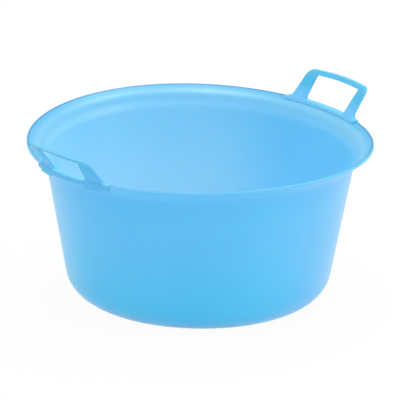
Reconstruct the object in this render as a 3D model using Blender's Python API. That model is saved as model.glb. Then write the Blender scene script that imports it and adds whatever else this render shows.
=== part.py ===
# Round plastic basin with two raised loop handles that clip over its rim.
# Metres, +Z up. The origin is the middle of the foot ring's underside, and the handles lie along X.

import math

import bmesh
import bpy

# Bowl, outside sizes
rim_radius = 0.200                   # outer face of the rim's turned-down lip
rim_height = 0.187                   # top of the rim above the table
rim_overhang = 0.0515                # how far the rim stands out past the foot of the wall's line
base_radius = rim_radius - rim_overhang     # where the line of the wall would meet the table
wall_draft = math.radians(10.2)      # the wall opens upwards by this much
wall_thickness = 0.0020
heel_radius = 0.034                  # round corner between foot and wall
cove_radius = 0.023                  # hollow curve where the wall turns out into the flange
flange_slope = math.radians(28)      # the flange still climbs by this much at its edge
lip_depth = 0.0034                   # height of the turned-down lip
lip_fillet = 0.0006                  # under the flange, inside the lip
rim_fillet = 0.0013                  # the rim's outer edge

# Foot and floor
foot_inset = 0.0405                  # from the foot of the wall's line in to the ring's inner edge
foot_inner_radius = base_radius - foot_inset
floor_lift = 0.0025                  # the floor inside the foot ring is raised by this much
step_run = 0.005                     # width of the slope between raised floor and foot ring
step_fillet = 0.004

# Handles, measured on the leaning plate
handle_lean = math.radians(36)       # outward from upright
window_width = 0.0665                # at the clip
window_top_width = 0.0715
window_height = 0.0347               # from the rim clip to the underside of the bar
loop_width = 0.0990                  # over both posts at the top
loop_foot_width = 0.1045             # over both posts at the clip
bar_height = 0.0062
bar_arch = 0.0007                    # the bar's middle is this much higher than its ends
plate_thickness = 0.0028
plate_fillet = 0.0018                # outside, where a post rises from the clip
handle_corner_radius = 0.007         # outer top corners of the loop
window_corner_radius = 0.0020
root_flare = 0.0050                  # fillet between a post and the clip below it
clip_width = 0.120                   # the clip runs past the posts on both sides
post_tail = 0.0095                   # each post hangs below the top of the rim by this much
tail_corner_radius = 0.0025

# Clip of a handle: a channel round the rim's lip
clip_gap = 0.0003                    # clearance to the lip on all sides
clip_wall = 0.0018
clip_reach = 0.0072                  # how far the clip covers the flange, inwards from the lip
clip_edge = 0.0008                   # thickness of that cover at its inner edge
clip_rise = 0.0010                   # the clip's top stands this much above the rim
clip_round = 0.0012                  # along the clip's outer top edge
hook_reach = 0.0012                  # how far the clip's hook goes in past the lip
clip_top = rim_height + clip_rise
clip_bottom = rim_height - lip_depth - clip_gap - clip_wall

# Facets
bowl_facets = 80
facet_turn = 2 * math.pi / bowl_facets
arc_facet = math.radians(17)         # largest turn between two points of a rounded corner
arch_points = 9
sharp_turn = math.radians(35)        # edges that turn by more than this are shaded sharp
weld_distance = 0.000001
overrun = 0.010                      # how far bands and cutters stand past what they trim
trim = 0.0001                        # the outline shaves this much off the clip, which leaves it flush

# Colours, as linear red, green and blue
bowl_colour = (0.13, 0.52, 0.90)
handle_colour = (0.12, 0.48, 0.84)
plastic_roughness = 0.38


def rounded_path(corners):
    # An open path through corners (across, up, fillet), with its left-hand normal at each point.
    path = []
    last = len(corners) - 1
    for index, (x, z, fillet) in enumerate(corners):
        before = corners[max(index - 1, 0)]
        after = corners[min(index + 1, last)]
        heading_in = math.atan2(z - before[1], x - before[0])
        heading_out = math.atan2(after[1] - z, after[0] - x)
        if index == 0:
            heading_in = heading_out
        if index == last:
            heading_out = heading_in
        turn = math.remainder(heading_out - heading_in, 2 * math.pi)
        side = math.copysign(1, turn)
        reach = fillet * math.tan(abs(turn) / 2)
        start_x = x - reach * math.cos(heading_in)
        start_z = z - reach * math.sin(heading_in)
        centre_x = start_x - side * fillet * math.sin(heading_in)
        centre_z = start_z + side * fillet * math.cos(heading_in)
        steps = math.ceil(abs(turn) / arc_facet) if fillet > 0 else 0
        for step in range(steps + 1):
            heading = heading_in + turn * (step / steps if steps else 0.5)
            normal = (-math.sin(heading), math.cos(heading))
            point = (centre_x - side * fillet * normal[0], centre_z - side * fillet * normal[1])
            path.append((point, normal))
    return path


def offset(path, distance):
    return [(x + distance * across, z + distance * up) for (x, z), (across, up) in path]


def points_of(corners):
    return offset(rounded_path(corners), 0)


def flange_top(radius):
    # Height of the line of the flange's upper face at a radius.
    crest = rim_radius - rim_fillet
    on_line = rim_height - rim_fillet + rim_fillet / math.cos(flange_slope)
    return on_line - (crest - radius) * math.tan(flange_slope)


def bowl_section():
    # The wall from the middle of the floor out to the flange, and the turned-down lip at its end.
    lip_inside = rim_radius - wall_thickness
    lip_bottom = rim_height - lip_depth
    drop = wall_thickness / math.cos(flange_slope)
    line_at_axis = flange_top(0) - drop
    slope = math.tan(flange_slope)
    draft = math.tan(wall_draft)
    cove = (base_radius + line_at_axis * draft) / (1 - slope * draft)
    flange_end = (lip_inside, line_at_axis + lip_inside * slope)
    wall = rounded_path([
        (0, floor_lift, 0),
        (foot_inner_radius - step_run, floor_lift, step_fillet),
        (foot_inner_radius, 0, step_fillet),
        (base_radius, 0, heel_radius),
        (cove, line_at_axis + cove * slope, cove_radius),
        (*flange_end, 0),
    ])[:-1]
    lip_under = [(cove, line_at_axis + cove * slope, 0), (*flange_end, lip_fillet),
                 (lip_inside, lip_bottom, 0)]
    lip_over = [(cove, flange_top(cove), 0), (rim_radius, flange_top(rim_radius), rim_fillet),
                (rim_radius, lip_bottom, 0)]
    under = offset(wall, 0) + points_of(lip_under)[1:]
    over = offset(wall, wall_thickness) + points_of(lip_over)[1:]
    return under + over[::-1]


def spin_section(mesh, outline, start, turn, steps):
    # Turns a section drawn in the XZ plane round the Z axis into a closed solid.
    whole = steps == bowl_facets
    verts = [mesh.verts.new((x * math.cos(start), x * math.sin(start), z)) for x, z in outline]
    edges = [mesh.edges.new(pair) for pair in zip(verts, verts[1:])]
    section = verts + edges
    if not whole:
        section = section + [mesh.edges.new((verts[-1], verts[0])), mesh.faces.new(verts)]
    bmesh.ops.spin(mesh, geom=section, cent=(0, 0, 0), axis=(0, 0, 1), angle=turn, steps=steps,
                   use_merge=whole, use_duplicate=False)
    bmesh.ops.remove_doubles(mesh, verts=mesh.verts, dist=weld_distance)
    bmesh.ops.recalc_face_normals(mesh, faces=mesh.faces)


def finished(mesh, name, material=None):
    data = bpy.data.meshes.new(name)
    mesh.to_mesh(data)
    mesh.free()
    part = bpy.data.objects.new(name, data)
    bpy.context.scene.collection.objects.link(part)
    if material:
        data.materials.append(material)
        data.shade_smooth()
        data.set_sharp_from_angle(angle=sharp_turn)
    return part


def plastic(name, colour):
    material = bpy.data.materials.new(name)
    material.use_nodes = True
    shader = material.node_tree.nodes["Principled BSDF"]
    shader.inputs["Base Color"].default_value = (*colour, 1)
    shader.inputs["Roughness"].default_value = plastic_roughness
    shader.inputs["Metallic"].default_value = 0
    return material


def build_bowl(material):
    mesh = bmesh.new()
    spin_section(mesh, bowl_section(), 0, 2 * math.pi, bowl_facets)
    return finished(mesh, "bowl", material)


def handle_section():
    # The clip's channel and the leaning plate, cut through at the middle of a handle.
    web_inside = rim_radius + clip_gap
    web_outside = web_inside + clip_wall
    lip_bottom = rim_height - lip_depth
    cover_tip = rim_radius - clip_reach
    hook_tip = rim_radius - wall_thickness - hook_reach
    gap_rise = clip_gap / math.cos(flange_slope)
    cover_height = flange_top(cover_tip) + (clip_gap + clip_edge) / math.cos(flange_slope)
    lean_across = math.sin(handle_lean)
    lean_up = math.cos(handle_lean)

    # The plate rises from the cover's inner edge, past the top of the bar
    reach = (clip_top - cover_height) / lean_up + window_height + bar_height + bar_arch + overrun
    inner_top = (cover_tip + reach * lean_across, cover_height + reach * lean_up)
    outer_top = (inner_top[0] + plate_thickness * lean_up, inner_top[1] - plate_thickness * lean_across)
    plate_foot = cover_tip + (clip_top - cover_height) * math.tan(handle_lean) + plate_thickness / lean_up
    corners = [
        (web_inside, rim_height - post_tail, 0),
        (web_inside, clip_bottom, 0),
        (hook_tip, clip_bottom, 0),
        (hook_tip, lip_bottom - clip_gap, 0),
        (web_inside, lip_bottom - clip_gap, 0),
        (web_inside, flange_top(web_inside) + gap_rise, rim_fillet + clip_gap),
        (cover_tip, flange_top(cover_tip) + gap_rise, 0),
        (cover_tip, cover_height, 0),
        (*inner_top, 0),
        (*outer_top, 0),
        (plate_foot, clip_top, plate_fillet),
        (web_outside, clip_top, clip_round),
        (web_outside, rim_height - post_tail, 0),
    ]
    return points_of(corners)


def arched(height, half_width):
    # One edge of the bar, from its right end to its left end.
    points = []
    for step in range(arch_points + 1):
        across = half_width * (1 - 2 * step / arch_points)
        rise = bar_arch * math.cos(math.pi / 2 * across / half_width)
        points.append((across, height + rise * math.cos(handle_lean)))
    return points


def loop_outline():
    # The handle seen from outside along X: its outer edge, and the edge of its window.
    lean_up = math.cos(handle_lean)
    foot_inside = window_width / 2
    foot_outside = loop_foot_width / 2
    top_inside = window_top_width / 2
    top_outside = loop_width / 2
    clip_end = clip_width / 2
    upper = clip_top - trim
    under = clip_bottom + trim
    tail = rim_height - post_tail + trim
    bar_bottom = clip_top + window_height * lean_up
    bar_top = bar_bottom + bar_height * lean_up
    right = points_of([
        (foot_inside, under, 0),
        (foot_inside, tail, tail_corner_radius),
        (foot_outside, tail, tail_corner_radius),
        (foot_outside, under, 0),
        (clip_end, under, 0),
        (clip_end, upper, 0),
        (foot_outside, upper, root_flare),
        (top_outside, bar_top, handle_corner_radius),
        (top_inside, bar_top, 0),
    ])[:-1]
    outer = right + arched(bar_top, top_inside) + [(-across, up) for across, up in reversed(right)]
    window_side = points_of([
        (0, upper, 0),
        (foot_inside, upper, window_corner_radius),
        (top_inside, bar_bottom, 0),
    ])[1:]
    return outer, window_side, bar_bottom


def build_handle(name, turn, material):
    outer, window_side, bar_bottom = loop_outline()
    half_steps = math.ceil(math.asin(clip_width / 2 / rim_radius) / facet_turn)

    # A leaning band turned about the bowl's own axis, facet for facet with the rim
    band = bmesh.new()
    start = -half_steps * facet_turn
    spin_section(band, handle_section(), start, 2 * half_steps * facet_turn, 2 * half_steps)
    handle = finished(band, name, material)

    # The loop's outline, which trims the band, and the window cut through it
    window = window_side + arched(bar_bottom, window_top_width / 2)[1:-1]
    window = window + [(-across, up) for across, up in reversed(window_side)]
    shapes = [(outer, "INTERSECT"), (window, "DIFFERENCE")]
    for outline, operation in shapes:
        cutter = outline_block(name + "_" + operation.lower(), outline)
        cut = handle.modifiers.new(operation.lower(), "BOOLEAN")
        cut.operation = operation
        cut.object = cutter
        cutter.rotation_euler.z = turn
    handle.rotation_euler.z = turn
    return handle


def outline_block(name, outline):
    # An outline in the YZ plane, drawn out along X through the whole depth of the handle.
    near = math.sqrt((rim_radius - clip_reach) ** 2 - (clip_width / 2) ** 2) - overrun
    far = rim_radius + window_height + bar_height + bar_arch + 2 * overrun
    mesh = bmesh.new()
    face = mesh.faces.new([mesh.verts.new((near, across, up)) for across, up in outline])
    drawn = bmesh.ops.extrude_face_region(mesh, geom=[face])
    moved = [item for item in drawn["geom"] if isinstance(item, bmesh.types.BMVert)]
    bmesh.ops.translate(mesh, verts=moved, vec=(far - near, 0, 0))
    bmesh.ops.recalc_face_normals(mesh, faces=mesh.faces)
    block = finished(mesh, name)
    block.hide_render = True
    block.display_type = "WIRE"
    return block


def build_basin():
    for old in list(bpy.data.objects):
        bpy.data.objects.remove(old, do_unlink=True)
    bowl_plastic = plastic("bowl_plastic", bowl_colour)
    handle_plastic = plastic("handle_plastic", handle_colour)
    build_bowl(bowl_plastic)
    build_handle("handle_right", 0, handle_plastic)
    build_handle("handle_left", math.pi, handle_plastic)


build_basin()
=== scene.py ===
# Round plastic basin with two loop handles, dressed for a plain white studio.
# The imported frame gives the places, and the dictionaries below hold what a user would change.
# Metres, +Z up, the handles lie along X.

import math

import bmesh
import bpy
from mathutils import Matrix, Vector


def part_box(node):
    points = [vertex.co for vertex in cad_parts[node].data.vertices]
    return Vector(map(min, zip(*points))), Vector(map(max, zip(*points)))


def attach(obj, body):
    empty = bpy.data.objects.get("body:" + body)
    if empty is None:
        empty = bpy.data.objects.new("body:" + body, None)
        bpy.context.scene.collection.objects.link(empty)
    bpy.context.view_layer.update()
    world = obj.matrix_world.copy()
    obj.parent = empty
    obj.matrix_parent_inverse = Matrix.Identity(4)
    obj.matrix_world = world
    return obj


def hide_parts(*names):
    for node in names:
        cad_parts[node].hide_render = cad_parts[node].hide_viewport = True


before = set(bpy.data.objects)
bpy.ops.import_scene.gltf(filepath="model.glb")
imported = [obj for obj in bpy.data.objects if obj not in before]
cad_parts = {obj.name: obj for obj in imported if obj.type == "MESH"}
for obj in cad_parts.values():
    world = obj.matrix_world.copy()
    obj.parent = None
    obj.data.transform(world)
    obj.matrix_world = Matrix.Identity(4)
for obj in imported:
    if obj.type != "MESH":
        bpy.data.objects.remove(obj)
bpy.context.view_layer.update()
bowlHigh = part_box("bowl")[1]              # the rim's radius in x and its height in z
print("frame loaded:", ", ".join(sorted(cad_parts)))


# Camera, with the lens and place that the photograph's outlines give
cameraLook = {
    "distance": 6.0,                      # from the middle of the rim
    "azimuth": math.radians(-42.0),
    "elevation": math.radians(18.43),
    "aimHeight": 0.1118,                  # the picture's middle looks past the bowl's axis at this height
    "aimSide": 0.0008,                    # and this far to the right of it
    "roll": math.radians(0.94),           # the right side of the picture hangs a little lower
    "lens": 469.0,
    "sensor": 36.0,
}


def makeCamera(look):
    azimuth = look["azimuth"]
    level = math.cos(look["elevation"])
    back = Vector((math.sin(azimuth) * level, -math.cos(azimuth) * level, math.sin(look["elevation"])))
    right = Vector((math.cos(azimuth), math.sin(azimuth), 0))
    camera = bpy.data.cameras.new("studioCamera")
    camera.lens = look["lens"]
    camera.sensor_width = look["sensor"]
    eye = bpy.data.objects.new("studioCamera", camera)
    eye.location = Vector((0, 0, bowlHigh.z)) + back * look["distance"]
    aim = Vector((0, 0, look["aimHeight"])) + right * look["aimSide"]
    sight = aim - eye.location
    turned = sight.to_track_quat("-Z", "Y").to_matrix() @ Matrix.Rotation(look["roll"], 3, "Z")
    eye.rotation_euler = turned.to_euler()
    bpy.context.scene.collection.objects.link(eye)
    bpy.context.scene.camera = eye


makeCamera(cameraLook)
print("camera placed")


# Small helpers for nodes

def mathNode(tree, operation, first, second=None, third=None):
    node = tree.nodes.new("ShaderNodeMath")
    node.operation = operation
    for socket, value in zip(node.inputs, (first, second, third)):
        if isinstance(value, (int, float)):
            socket.default_value = value
        elif value is not None:
            tree.links.new(value, socket)
    return node.outputs[0]


def rampBetween(tree, value, span, start=0.0):
    # 0 before the span's first number, 1 past its second, smooth in between; both count from start
    node = tree.nodes.new("ShaderNodeMapRange")
    node.interpolation_type = "SMOOTHSTEP"
    node.inputs["From Min"].default_value = start + span[0]
    node.inputs["From Max"].default_value = start + span[1]
    tree.links.new(value, node.inputs["Value"])
    return node.outputs["Result"]


def mixColours(tree, share, first, second):
    node = tree.nodes.new("ShaderNodeMix")
    node.data_type = "RGBA"
    # the node's socket 0 takes the share, 6 and 7 take the colours
    for index, value in ((0, share), (6, first), (7, second)):
        if isinstance(value, bpy.types.NodeSocket):
            tree.links.new(value, node.inputs[index])
        else:
            node.inputs[index].default_value = (*value, 1)
    return node.outputs[2]


def noiseAt(tree, place, noise):
    node = tree.nodes.new("ShaderNodeTexNoise")
    node.inputs["Scale"].default_value = noise["scale"]
    node.inputs["Detail"].default_value = noise["detail"]
    tree.links.new(place, node.inputs["Vector"])
    return node.outputs["Fac"]


# The translucent plastic, with what the bowl and the loops share
plasticLook = {
    "cloud": 0.08,                        # share by which slow clouds in the resin change the colour
    "cloudColour": (0.080, 0.480, 0.820),
    "cloudNoise": {"scale": 9.0, "detail": 3.0},
    "cloudSpan": (0.3, 0.7),              # of that noise, from clear resin to full cloud
    "wearNoise": {"scale": 40.0, "detail": 4.0},
    "roughnessSpread": 0.10,              # the most that wear changes the roughness
    "grain": 0.000018,                    # height of the fine moulded grain
    "grainNoise": {"scale": 900.0, "detail": 2.0},
    "waveHeight": 4.0,                    # of the mould's slow waves, in heights of the grain
    "waveNoise": {"scale": 22.0, "detail": 1.0},
    "refraction": 1.49,
}


def makePlastic(name, look, tint):
    # tint(tree, look, place, radius, facing) gives the colour at a point
    material = bpy.data.materials.new(name)
    material.use_nodes = True
    tree = material.node_tree
    shader = tree.nodes["Principled BSDF"]
    space = tree.nodes.new("ShaderNodeTexCoord")
    place = space.outputs["Object"]
    split = tree.nodes.new("ShaderNodeSeparateXYZ")
    tree.links.new(place, split.inputs[0])
    facing = tree.nodes.new("ShaderNodeSeparateXYZ")
    tree.links.new(space.outputs["Normal"], facing.inputs[0])
    squares = mathNode(tree, "MULTIPLY", split.outputs["X"], split.outputs["X"])
    squares = mathNode(tree, "MULTIPLY_ADD", split.outputs["Y"], split.outputs["Y"], squares)
    radius = mathNode(tree, "SQRT", squares)

    colour = tint(tree, look, split.outputs, radius, facing.outputs)
    clouds = rampBetween(tree, noiseAt(tree, place, look["cloudNoise"]), look["cloudSpan"])
    clouds = mathNode(tree, "MULTIPLY", clouds, look["cloud"])
    colour = mixColours(tree, clouds, colour, look["cloudColour"])
    tree.links.new(colour, shader.inputs["Base Color"])

    wear = noiseAt(tree, place, look["wearNoise"])
    leastRough = look["roughness"] - look["roughnessSpread"] / 2
    roughness = mathNode(tree, "MULTIPLY_ADD", wear, look["roughnessSpread"], leastRough)
    tree.links.new(roughness, shader.inputs["Roughness"])

    grain = noiseAt(tree, place, look["grainNoise"])
    waves = noiseAt(tree, place, look["waveNoise"])
    bump = tree.nodes.new("ShaderNodeBump")
    bump.inputs["Strength"].default_value = 1.0
    bump.inputs["Distance"].default_value = look["grain"]
    height = mathNode(tree, "MULTIPLY_ADD", waves, look["waveHeight"], grain)
    tree.links.new(height, bump.inputs["Height"])
    tree.links.new(bump.outputs["Normal"], shader.inputs["Normal"])

    shader.inputs["Metallic"].default_value = 0.0
    shader.inputs["IOR"].default_value = look["refraction"]
    shader.inputs["Specular IOR Level"].default_value = look["gloss"]
    shader.inputs["Subsurface Weight"].default_value = look["through"]
    shader.inputs["Subsurface Scale"].default_value = 1.0
    shader.inputs["Subsurface Radius"].default_value = look["reach"]
    return material


smoothTurn = math.radians(35)             # edges that turn by less than this look smooth


def finishMesh(mesh, name, material):
    data = bpy.data.meshes.new(name)
    mesh.to_mesh(data)
    mesh.free()
    data.shade_smooth()
    data.set_sharp_from_angle(angle=smoothTurn)
    data.materials.append(material)
    piece = bpy.data.objects.new(name, data)
    bpy.context.scene.collection.objects.link(piece)
    return piece


# The bowl: the section of its wall, with rounded corners, is turned round the axis
bowlShape = {
    "rimRadius": bowlHigh.x,
    "rimHeight": bowlHigh.z,
    "baseRadius": 0.1485,                 # where the wall's line meets the table
    "wallDraft": math.radians(10.2),
    "wall": 0.0020,
    "heelRadius": 0.034,
    "coveRadius": 0.023,
    "flangeSlope": math.radians(28),
    "lipDepth": 0.0034,
    "lipFillet": 0.0006,
    "rimFillet": 0.0013,
    "footInner": 0.108,
    "floorLift": 0.0025,
    "stepRun": 0.005,
    "stepFillet": 0.004,
    "lipEdge": 0.0005,                    # round of the lip's free edge
    "turns": 256,
    "arcSteps": {"small": 4, "large": 14},
    "merge": 0.00001,                     # points closer than this become one
    "sag": 0.0031,                        # the thin rim has settled a little, low near the loops
    "sagTurn": math.radians(-16.6),       # where it is lowest, seen from +X
    "sagFrom": 0.040,                     # the wall is round below this height
    "sagPower": 1.5,                      # how fast the saddle grows from there to the rim
    "stiffRise": 0.010,                   # a loop no longer follows it this far above its clip
}
bowlLook = {
    **plasticLook,
    "outside": (0.156, 0.605, 0.985),
    "outsideLow": (0.116, 0.640, 1.000),  # near the foot the outside is a little deeper in colour
    "lowSpan": (0.020, 0.120),            # heights between which it gives way to the colour above
    "insideHigh": (0.335, 0.685, 0.935),  # painted light: the inside is painted paler for the light through the wall, and palest low down
    "insideLow": (0.520, 0.755, 0.930),
    "highSpan": (0.060, 0.175),           # heights between which the inside changes
    # painted light and shade: towards one side the inside is painted deeper and the outside paler, for how
    # the light falls there
    "paintedSideTurn": math.radians(-42.0),      # the way to that side, seen from +X
    "insidePaintedShade": (0.170, 0.615, 0.920),
    "paintedShadeShare": 0.7,
    "paintedShadeSpan": (-0.010, 0.120),          # distances that way from the axis
    "outsidePaintedLight": (0.182, 0.575, 0.880),
    "paintedLightSpan": (0.060, 0.170),
    # bands on the upper side, one over another; each span is measured from the rim's radius. The ring on the
    # cove and the flange are painted shade: they look up, and are painted darker and less blue than the wall
    # against the light from above
    "bands": {
        "ring": {"colour": (0.195, 0.550, 0.740), "span": (-0.024, -0.017)},
        "flange": {"colour": (0.100, 0.480, 0.700), "span": (-0.012, -0.005)},
        "edge": {"colour": (0.030, 0.300, 0.540), "span": (-0.0042, -0.0020)},
    },
    "lip": (0.200, 0.600, 0.970),         # the thin lip, seen from outside
    "lipSpan": (-0.0010, -0.0003),
    "upwardSpan": (0.02, 0.15),           # a face that looks up by this much is on the inside
    "gloss": 0.5,                         # strength of the mirror-like part
    "roughness": 0.30,
    "through": 1.0,                       # share of the light that enters the plastic
    "reach": (0.0020, 0.0035, 0.0045),    # how far red, green and blue travel in it
}


def flangeTop(shape, radius):
    # height of the line of the flange's upper face
    fillet = shape["rimFillet"]
    onLine = shape["rimHeight"] - fillet + fillet / math.cos(shape["flangeSlope"])
    return onLine - (shape["rimRadius"] - fillet - radius) * math.tan(shape["flangeSlope"])


def roundCorners(mesh, verts, corners):
    # bevels the corners of an open wire to true fillet radii
    turns = []
    for before, corner, after in zip(verts, verts[1:], verts[2:]):
        turns.append((corner.co - before.co).angle(after.co - corner.co))
    for vert, turn, (x, z, fillet, steps) in zip(verts[1:-1], turns, corners[1:-1]):
        if fillet > 0:
            bmesh.ops.bevel(mesh, geom=[vert], offset=fillet * math.tan(turn / 2), offset_type="OFFSET",
                            segments=steps, profile=0.5, affect="VERTICES", material=-1)


def settle(mesh, shape, stiffAbove=None, middle=0):
    # the rim's slight saddle, which fades out down the wall; a loop above its clip moves as one
    for vert in mesh.verts:
        turn = math.atan2(vert.co.y, vert.co.x)
        if stiffAbove:
            own = min(max((vert.co.z - stiffAbove) / shape["stiffRise"], 0), 1)
            turn -= own * math.remainder(turn - middle, 2 * math.pi)
        share = min(max((vert.co.z - shape["sagFrom"]) / (shape["rimHeight"] - shape["sagFrom"]), 0), 1)
        vert.co.z -= shape["sag"] * math.cos(2 * (turn - shape["sagTurn"])) * share ** shape["sagPower"]


def oneWallIn(corners, wall):
    # the same corners one wall further in, on the left of the line, each with the fillet that fits
    moved = []
    for index, (x, z, fillet, steps) in enumerate(corners):
        before = corners[max(index - 1, 0)]
        after = corners[min(index + 1, len(corners) - 1)]
        came = Vector((x - before[0], z - before[1]))
        goes = Vector((after[0] - x, after[1] - z))
        came, goes = (came if came.length else goes), (goes if goes.length else came)
        normals = [Vector((-way.y, way.x)).normalized() for way in (came, goes)]
        shift = (normals[0] + normals[1]) * wall / (1 + normals[0].dot(normals[1]))
        turn = came.x * goes.y - came.y * goes.x
        moved.append((x + shift.x, z + shift.y, fillet - math.copysign(wall, turn) if fillet else 0, steps))
    return moved


def bowlSection(shape):
    # corners from the floor's middle out under the wall, round the lip and back in: x, z, fillet, steps
    slope = math.tan(shape["flangeSlope"])
    draft = math.tan(shape["wallDraft"])
    wall = shape["wall"]
    lipInside = shape["rimRadius"] - wall
    lipBottom = shape["rimHeight"] - shape["lipDepth"]
    lineAtAxis = flangeTop(shape, 0) - wall / math.cos(shape["flangeSlope"])
    cove = (shape["baseRadius"] + lineAtAxis * draft) / (1 - slope * draft)
    small = shape["arcSteps"]["small"]
    large = shape["arcSteps"]["large"]
    under = [
        (0, shape["floorLift"], 0, 0),
        (shape["footInner"] - shape["stepRun"], shape["floorLift"], shape["stepFillet"], small),
        (shape["footInner"], 0, shape["stepFillet"], small),
        (shape["baseRadius"], 0, shape["heelRadius"], large),
        (cove, lineAtAxis + cove * slope, shape["coveRadius"], large),
        (lipInside, lineAtAxis + lipInside * slope, shape["lipFillet"], small),
    ]
    lip = [
        (lipInside, lipBottom, shape["lipEdge"], small),
        (shape["rimRadius"], lipBottom, shape["lipEdge"], small),
        (shape["rimRadius"], flangeTop(shape, shape["rimRadius"]), shape["rimFillet"], 2 * small),
    ]
    return under + lip + oneWallIn(under, wall)[-2::-1]


def makeBowl(shape, material):
    corners = bowlSection(shape)
    mesh = bmesh.new()
    verts = [mesh.verts.new((x, 0, z)) for x, z, fillet, steps in corners]
    for pair in zip(verts, verts[1:]):
        mesh.edges.new(pair)
    roundCorners(mesh, verts, corners)
    bmesh.ops.spin(mesh, geom=mesh.verts[:] + mesh.edges[:], cent=(0, 0, 0), axis=(0, 0, 1),
                   angle=2 * math.pi, steps=shape["turns"], use_merge=True, use_duplicate=False)
    bmesh.ops.remove_doubles(mesh, verts=mesh.verts, dist=shape["merge"])
    bmesh.ops.recalc_face_normals(mesh, faces=mesh.faces)
    settle(mesh, shape)
    return finishMesh(mesh, "bowl_shell", material)


def bowlTint(tree, look, place, radius, facing):
    # painted light and shade: paler inside, most low down, for the light through the wall; painted shade on
    # one side and on the cove and flange; the outside painted paler on one side; deepest along the rim's
    # inner edge
    rim = bowlShape["rimRadius"]
    high = rampBetween(tree, place["Z"], look["highSpan"])
    inside = mixColours(tree, high, look["insideLow"], look["insideHigh"])
    along = mathNode(tree, "MULTIPLY", place["X"], math.cos(look["paintedSideTurn"]))
    along = mathNode(tree, "MULTIPLY_ADD", place["Y"], math.sin(look["paintedSideTurn"]), along)
    # painted shade: the inside deepens towards one side
    deep = mathNode(tree, "MULTIPLY", rampBetween(tree, along, look["paintedShadeSpan"]), look["paintedShadeShare"])
    inside = mixColours(tree, deep, inside, look["insidePaintedShade"])
    # painted shade on the cove and the flange, which look up; the edge band is the rim's deeper line
    for band in look["bands"].values():
        inside = mixColours(tree, rampBetween(tree, radius, band["span"], rim), inside, band["colour"])
    low = rampBetween(tree, place["Z"], look["lowSpan"])
    outside = mixColours(tree, low, look["outsideLow"], look["outside"])
    # painted light: the outside pales towards that side
    pale = rampBetween(tree, along, look["paintedLightSpan"])
    outside = mixColours(tree, pale, outside, look["outsidePaintedLight"])
    upward = rampBetween(tree, facing["Z"], look["upwardSpan"])
    lip = rampBetween(tree, radius, look["lipSpan"], rim)
    return mixColours(tree, lip, mixColours(tree, upward, outside, inside), look["lip"])


bowlPlastic = makePlastic("bowlPlastic", bowlLook, bowlTint)
bowl = makeBowl(bowlShape, bowlPlastic)
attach(bowl, "root")
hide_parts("bowl")
print("bowl made:", len(bowl.data.polygons), "faces")


# A loop: a clip round the rim's lip, and a leaning plate with two posts and a bar
loopShape = {
    "windowWidth": 0.0665,                # at the clip
    "windowTopWidth": 0.0715,
    "windowHeight": 0.0347,
    "windowRadius": 0.0020,
    "footWidth": 0.1045,                  # over both posts at the clip
    "topWidth": 0.0990,                   # over both posts at the bar
    "footInset": 0.0004,                  # the posts' feet stand this far in from the clip's outside
    "footBlend": 0.0006,
    "rootFlare": 0.0050,
    "plate": 0.0028,
    "barHeight": 0.0062,
    "barArch": 0.0007,
    "cornerRadius": 0.007,
    "clipWidth": 0.120,
    "clipWall": 0.0020,
    "clipReach": 0.0072,                  # how far the cover goes in over the flange
    "clipEdge": 0.0005,                   # the cover's thickness at its inner end
    "clipRise": 0.0005,                   # the clip's top stands this far above the rim
    "hookReach": 0.0012,
    "gap": 0.0001,                        # between the clip and the lip, all round
    "tail": 0.0084,                       # each post hangs this far below the rim
    "tailRadius": 0.0025,
    "tailLevels": (1, 0.3, 0),            # heights over the tail's end, in shares of that radius
    "edgeRound": 0.0006,
    "edgeTurn": math.radians(20),         # edges that turn out by more than this are rounded
    "edgeSteps": 3,
    "windowSteps": 6,
    "rootSteps": 4,
    "roundSteps": 5,
    "thirds": (0.33, 0.67, 1),
    "levelGap": 0.0003,                   # no step in a post's corner comes closer to the window's top
    "merge": 0.00002,
}
loopPlaces = {
    # each loop is bent a little by use, and the left one has broader feet
    "loop_right": {"node": "handle_right", "turn": math.radians(-0.2), "lean": math.radians(40)},
    "loop_left": {"node": "handle_left", "turn": math.radians(180), "lean": math.radians(38),
                  "windowWidth": 0.0560, "windowTopWidth": 0.0700},
}
loopLook = {
    **plasticLook,
    "outside": (0.072, 0.550, 0.920),
    "top": (0.160, 0.540, 0.850),         # painted light: what looks up is painted paler
    "upwardSpan": (-0.45, 0.35),
    "inside": (0.085, 0.540, 0.780),      # painted shade: what faces the axis is painted as the shaded side
    "inwardSpan": (-0.30, -0.45),
    "rootOutside": (0.150, 0.585, 1.000),
    # painted light: the inner root, with the clip's cover, is painted paler against the shade it lies in
    "rootInside": (0.190, 0.590, 0.930),
    "rootSpan": (0.002, 0.018),           # heights over the rim between which the root gives way to the post
    "bar": (0.135, 0.560, 0.820),
    "barSpan": (0.018, 0.030),            # and the post to the bar
    "gloss": 0.2,
    "roughness": 0.40,
    "through": 0.5,
    "reach": (0.0009, 0.0014, 0.0017),    # shorter than in the bowl, because the loops are narrow
}
sameSpot = 0.00001                        # closer than this counts as the same place
clearOff = 0.0001                         # further than this counts as another one


def softMax(first, second, blend):
    # the larger of two, with a soft change from one to the other
    return max(first, second) + blend * math.log1p(math.exp(-abs(second - first) / blend))


def roundIn(radius, distance):
    # how far a quarter round has come in at a distance before its end
    left = min(max(radius - distance, 0), radius)
    return radius - math.sqrt(radius ** 2 - left ** 2)


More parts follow.
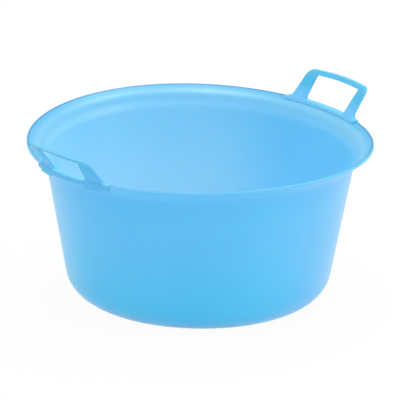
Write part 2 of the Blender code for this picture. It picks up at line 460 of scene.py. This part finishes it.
def loopMeasures(bowl, loop):
    # the loop's sizes, with the distances from the axis and the heights that follow from them
    upright = math.cos(loop["lean"])
    flangeUpright = math.cos(bowl["flangeSlope"])
    webInside = bowl["rimRadius"] + loop["gap"]
    hookTop = bowl["rimHeight"] - bowl["lipDepth"] - loop["gap"]
    coverTip = bowl["rimRadius"] - loop["clipReach"]
    coverUnder = flangeTop(bowl, coverTip) + loop["gap"] / flangeUpright
    coverTop = coverUnder + loop["clipEdge"] / flangeUpright
    top = bowl["rimHeight"] + loop["clipRise"]
    plateInner = coverTip + (top - coverTop) * math.tan(loop["lean"])
    windowTop = top + loop["windowHeight"] * upright
    footInside = loop["windowWidth"] / 2
    footOutside = loop["footWidth"] / 2
    return {
        **loop,
        "webInside": webInside,
        "webOutside": webInside + loop["clipWall"],
        "hookTip": bowl["rimRadius"] - bowl["wall"] - loop["hookReach"],
        "hookTop": hookTop,
        "bottom": hookTop - loop["clipWall"],
        "tailEnd": bowl["rimHeight"] - loop["tail"],
        "coverTip": coverTip,
        "coverUnder": coverUnder,
        "coverTop": coverTop,
        "top": top,
        "plateInner": plateInner,
        "plateOuter": plateInner + loop["plate"] / upright,
        "windowTop": windowTop,
        "barTop": windowTop + loop["barHeight"] * upright,
        "footInside": footInside,
        "footOutside": footOutside,
        "topInside": loop["windowTopWidth"] / 2,
        "topOutside": loop["topWidth"] / 2,
        "rootInside": footInside - loop["windowRadius"],
        "rootOutside": footOutside + loop["rootFlare"],
    }


def plateInside(loop, z):
    return loop["plateInner"] + (z - loop["top"]) * math.tan(loop["lean"])


def plateOutside(loop, z):
    # outside, a post stands upright on the clip until it meets the lean
    leaning = loop["plateOuter"] + (z - loop["top"]) * math.tan(loop["lean"])
    return softMax(loop["webOutside"] - loop["footInset"], leaning, loop["footBlend"])


def postEdges(loop, z):
    # inner and outer edge of a post at a height, with the rounds at its root and its top corner
    rise = z - loop["top"]
    share = min(rise / (loop["windowTop"] - loop["top"]), 1)
    inner = loop["footInside"] + (loop["topInside"] - loop["footInside"]) * share
    share = rise / (loop["barTop"] - loop["top"])
    outer = loop["footOutside"] + (loop["topOutside"] - loop["footOutside"]) * share
    outer += roundIn(loop["rootFlare"], rise) - roundIn(loop["cornerRadius"], loop["barTop"] - z)
    return inner - roundIn(loop["windowRadius"], rise), outer


def postLevels(loop):
    # heights at which a post is drawn, close together in its rounds
    quarter = [math.radians(90 * step / loop["roundSteps"]) for step in range(1, loop["roundSteps"] + 1)]
    levels = [loop["top"] + loop["rootFlare"] * (1 - math.cos(turn)) for turn in quarter]
    straight = loop["barTop"] - loop["cornerRadius"] - levels[-1]
    levels += [levels[-1] + straight * share for share in loop["thirds"]]
    levels.append(loop["windowTop"])
    drops = [loop["cornerRadius"] * (1 - math.sin(turn)) for turn in quarter]
    mostDrop = loop["barTop"] - loop["windowTop"] - loop["levelGap"]
    return levels + [loop["barTop"] - drop for drop in drops if drop < mostDrop]


def clipSection(bowl, loop):
    # closed outline (distance from the axis, height) of the clip, up to the foot of the plate
    outline = [
        (loop["webOutside"], loop["bottom"]),
        (loop["webInside"], loop["bottom"]),
        (loop["hookTip"], loop["bottom"]),
        (loop["hookTip"], loop["hookTop"]),
        (loop["webInside"], loop["hookTop"]),
    ]
    # over the rim's round edge, at an even gap
    rimRound = bowl["rimFillet"]
    reach = rimRound + loop["gap"]
    for share in (0, *loop["thirds"]):
        turn = share * (math.pi / 2 + bowl["flangeSlope"])
        outline.append((bowl["rimRadius"] - rimRound + reach * math.cos(turn),
                        bowl["rimHeight"] - rimRound + reach * math.sin(turn)))
    return outline + [
        (loop["coverTip"], loop["coverUnder"]),
        (loop["coverTip"], loop["coverTop"]),
        (loop["plateInner"], loop["top"]),
        (plateOutside(loop, loop["top"]), loop["top"]),
        (loop["webOutside"], loop["top"]),
    ]


def extrudeFaces(mesh, faces, place):
    # place(point) gives a drawn point its new place
    border = list({edge for face in faces for edge in face.edges})
    drawn = bmesh.ops.extrude_face_region(mesh, geom=faces + border)["geom"]
    newFaces = [item for item in drawn if isinstance(item, bmesh.types.BMFace)]
    for item in drawn:
        if isinstance(item, bmesh.types.BMVert):
            item.co = place(item.co)
    return newFaces


def facesOn(mesh, loop, z, near, far, side):
    # flat faces of a post's foot at a height, between two distances from the axis
    found = []
    for face in mesh.faces:
        middle = face.calc_center_median()
        isUnderPost = loop["rootInside"] < side * middle.y < loop["rootOutside"]
        if isUnderPost and abs(middle.z - z) < sameSpot and near < middle.x < far:
            found.append(face)
    return found


def drawClip(mesh, bowl, loop):
    # the clip, drawn straight along Y from one end to the other
    half = [loop["rootInside"] * step / loop["windowSteps"] for step in range(loop["windowSteps"] + 1)]
    rootWidth = loop["rootOutside"] - loop["rootInside"]
    for step in range(1, loop["rootSteps"] + 1):
        half.append(loop["rootInside"] + rootWidth * (step / loop["rootSteps"]))
    half.append(loop["clipWidth"] / 2)
    stations = [-y for y in reversed(half)] + half[1:]
    outline = clipSection(bowl, loop)
    faces = [mesh.faces.new([mesh.verts.new((x, stations[0], z)) for x, z in outline])]
    for station in stations[1:]:
        faces = extrudeFaces(mesh, faces, lambda co: Vector((co.x, station, co.z)))
    bmesh.ops.recalc_face_normals(mesh, faces=mesh.faces)


def growPost(mesh, loop, side):
    footEnd = plateOutside(loop, loop["top"])
    faces = facesOn(mesh, loop, loop["top"], loop["plateInner"], footEnd, side)
    levelWas = loop["top"]
    innerWas, outerWas = loop["rootInside"], loop["rootOutside"]
    for level in postLevels(loop):
        inner, outer = postEdges(loop, level)

        def place(co):
            share = (side * co.y - innerWas) / (outerWas - innerWas)
            isInside = abs(co.x - plateInside(loop, levelWas)) < loop["plate"] / 4
            x = plateInside(loop, level) if isInside else plateOutside(loop, level)
            return Vector((x, side * (inner + share * (outer - inner)), level))

        faces = extrudeFaces(mesh, faces, place)
        levelWas, innerWas, outerWas = level, inner, outer


def growTail(mesh, loop, side):
    # the post's end below the clip, with rounded corners
    faces = facesOn(mesh, loop, loop["bottom"], loop["webInside"], loop["webOutside"], side)
    for levelShare in loop["tailLevels"]:
        level = loop["tailEnd"] + loop["tailRadius"] * levelShare
        pull = roundIn(loop["tailRadius"], level - loop["tailEnd"])
        low = loop["footInside"] + pull
        high = loop["footOutside"] - pull
        sideways = [side * vert.co.y for face in faces for vert in face.verts]
        lowWas, highWas = min(sideways), max(sideways)

        def place(co):
            share = (side * co.y - lowWas) / (highWas - lowWas)
            return Vector((co.x, side * (low + share * (high - low)), level))

        faces = extrudeFaces(mesh, faces, place)


def growBar(mesh, loop):
    # each post's inner side above the window is drawn to the middle, where the two meet
    for side in (1, -1):
        faces = []
        for face in mesh.faces:
            middle = face.calc_center_median()
            isInnerSide = abs(side * middle.y - loop["topInside"]) < sameSpot
            if isInnerSide and middle.z > loop["windowTop"] + clearOff:
                faces.append(face)
        for step in reversed(range(loop["windowSteps"])):
            y = loop["topInside"] * step / loop["windowSteps"]
            faces = extrudeFaces(mesh, faces, lambda co: Vector((co.x, side * y, co.z)))
        bmesh.ops.delete(mesh, geom=faces, context="FACES")
    bmesh.ops.remove_doubles(mesh, verts=mesh.verts, dist=loop["merge"])
    bmesh.ops.recalc_face_normals(mesh, faces=mesh.faces)


def archBar(mesh, loop):
    upPlate = Vector((math.sin(loop["lean"]), 0, math.cos(loop["lean"])))
    for vert in mesh.verts:
        if vert.co.z > loop["windowTop"] - clearOff and abs(vert.co.y) < loop["topInside"] - clearOff:
            rise = loop["barArch"] * math.cos(math.pi / 2 * vert.co.y / loop["topInside"])
            vert.co += rise * upPlate


def bendRound(mesh, turn):
    # a point keeps its distance from the bowl's axis and its place across
    for vert in mesh.verts:
        vert.co.x = math.sqrt(vert.co.x ** 2 - vert.co.y ** 2)
    bmesh.ops.rotate(mesh, verts=mesh.verts, cent=(0, 0, 0), matrix=Matrix.Rotation(turn, 3, "Z"))


def makeLoop(name, bowl, loop, material):
    loop = loopMeasures(bowl, loop)
    mesh = bmesh.new()
    drawClip(mesh, bowl, loop)
    for side in (1, -1):
        growPost(mesh, loop, side)
        growTail(mesh, loop, side)
    growBar(mesh, loop)
    archBar(mesh, loop)
    sharp = [edge for edge in mesh.edges if edge.calc_face_angle_signed() > loop["edgeTurn"]]
    bmesh.ops.bevel(mesh, geom=sharp, offset=loop["edgeRound"], offset_type="OFFSET",
                    segments=loop["edgeSteps"], profile=0.5, affect="EDGES", clamp_overlap=True, material=-1)
    bendRound(mesh, loop["turn"])
    settle(mesh, bowl, loop["top"], loop["turn"])
    piece = finishMesh(mesh, name, material)
    shading = piece.modifiers.new("shading", "WEIGHTED_NORMAL")
    shading.keep_sharp = True
    return piece


def loopTint(tree, look, place, radius, facing):
    # painted light and shade: what looks up is paler and what faces the axis is deeper, and the inner root
    # is painted paler; the colour also changes from the root up the post to the bar
    rim = bowlShape["rimHeight"]
    across = mathNode(tree, "MULTIPLY", place["X"], facing["X"])
    across = mathNode(tree, "MULTIPLY_ADD", place["Y"], facing["Y"], across)
    inward = rampBetween(tree, mathNode(tree, "DIVIDE", across, radius), look["inwardSpan"])
    upward = rampBetween(tree, facing["Z"], look["upwardSpan"])
    post = mixColours(tree, upward, look["outside"], look["top"])
    postward = rampBetween(tree, place["Z"], look["rootSpan"], rim)
    outer = mixColours(tree, postward, look["rootOutside"], post)
    inner = mixColours(tree, postward, look["rootInside"], look["inside"])
    barward = rampBetween(tree, place["Z"], look["barSpan"], rim)
    return mixColours(tree, barward, mixColours(tree, inward, outer, inner), look["bar"])


loopPlastic = makePlastic("loopPlastic", loopLook, loopTint)
for pieceName, loopPlace in loopPlaces.items():
    loopPiece = makeLoop(pieceName, bowlShape, dict(loopShape, **loopPlace), loopPlastic)
    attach(loopPiece, "root")
    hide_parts(loopPlace["node"])
print("loops made")


# Floor and light
studio = {
    "floorSize": 12.0,
    "floorColour": (0.85, 0.85, 0.85),
    "floorWhite": 0.95,                   # share of plain white that the camera sees in the floor
    "worldLow": 0.60,                     # strength at the horizon
    "worldHigh": 1.02,                    # strength overhead
}
lampLooks = {
    # place, size and power of each softbox; all of them look at the rim's middle
    "overheadSoftbox": {"place": (0.27, 0.36, 2.3), "size": 0.7, "power": 11.0},
    "backSoftbox": {"place": (1.30, 0.35, 2.2), "size": 0.7, "power": 7.0},
    "sideSoftbox": {"place": (1.35, -1.75, 1.2), "size": 1.2, "power": 9.0},
}


def makeFloor(settings):
    mesh = bmesh.new()
    bmesh.ops.create_grid(mesh, x_segments=1, y_segments=1, size=settings["floorSize"] / 2)
    material = bpy.data.materials.new("floorWhite")
    material.use_nodes = True
    tree = material.node_tree
    tree.nodes.remove(tree.nodes["Principled BSDF"])
    diffuse = tree.nodes.new("ShaderNodeBsdfDiffuse")
    diffuse.inputs["Color"].default_value = (*settings["floorColour"], 1)
    white = tree.nodes.new("ShaderNodeEmission")
    white.inputs["Strength"].default_value = 1.0
    ray = tree.nodes.new("ShaderNodeLightPath").outputs
    seen = mathNode(tree, "MAXIMUM", ray["Is Camera Ray"], ray["Is Glossy Ray"])
    seen = mathNode(tree, "MAXIMUM", seen, ray["Is Transmission Ray"])
    mix = tree.nodes.new("ShaderNodeMixShader")
    tree.links.new(mathNode(tree, "MULTIPLY", seen, settings["floorWhite"]), mix.inputs[0])
    tree.links.new(diffuse.outputs[0], mix.inputs[1])
    tree.links.new(white.outputs[0], mix.inputs[2])
    tree.links.new(mix.outputs[0], tree.nodes["Material Output"].inputs["Surface"])
    floor = finishMesh(mesh, "studio_floor", material)


def makeWorld(settings):
    # a plain white room, brighter overhead; the camera sees it as white
    world = bpy.data.worlds.new("studioWorld")
    bpy.context.scene.world = world
    world.use_nodes = True
    tree = world.node_tree
    background = tree.nodes["Background"]
    background.inputs["Color"].default_value = (1, 1, 1, 1)
    split = tree.nodes.new("ShaderNodeSeparateXYZ")
    tree.links.new(tree.nodes.new("ShaderNodeTexCoord").outputs["Generated"], split.inputs[0])
    height = mathNode(tree, "MAXIMUM", split.outputs["Z"], 0.0)
    rise = settings["worldHigh"] - settings["worldLow"]
    strength = mathNode(tree, "MULTIPLY_ADD", height, rise, settings["worldLow"])
    ray = tree.nodes.new("ShaderNodeLightPath").outputs["Is Camera Ray"]
    tree.links.new(mathNode(tree, "MAXIMUM", strength, ray), background.inputs["Strength"])


def makeLamp(name, look):
    lamp = bpy.data.lights.new(name, "AREA")
    lamp.shape = "SQUARE"
    lamp.size = look["size"]
    lamp.energy = look["power"]
    box = bpy.data.objects.new(name, lamp)
    box.location = look["place"]
    sight = Vector((0, 0, bowlShape["rimHeight"])) - box.location
    box.rotation_euler = sight.to_track_quat("-Z", "Y").to_euler()
    bpy.context.scene.collection.objects.link(box)


makeFloor(studio)
makeWorld(studio)
for lampName, lampLook in lampLooks.items():
    makeLamp(lampName, lampLook)
bpy.context.scene.view_settings.view_transform = "Standard"
print("studio set")
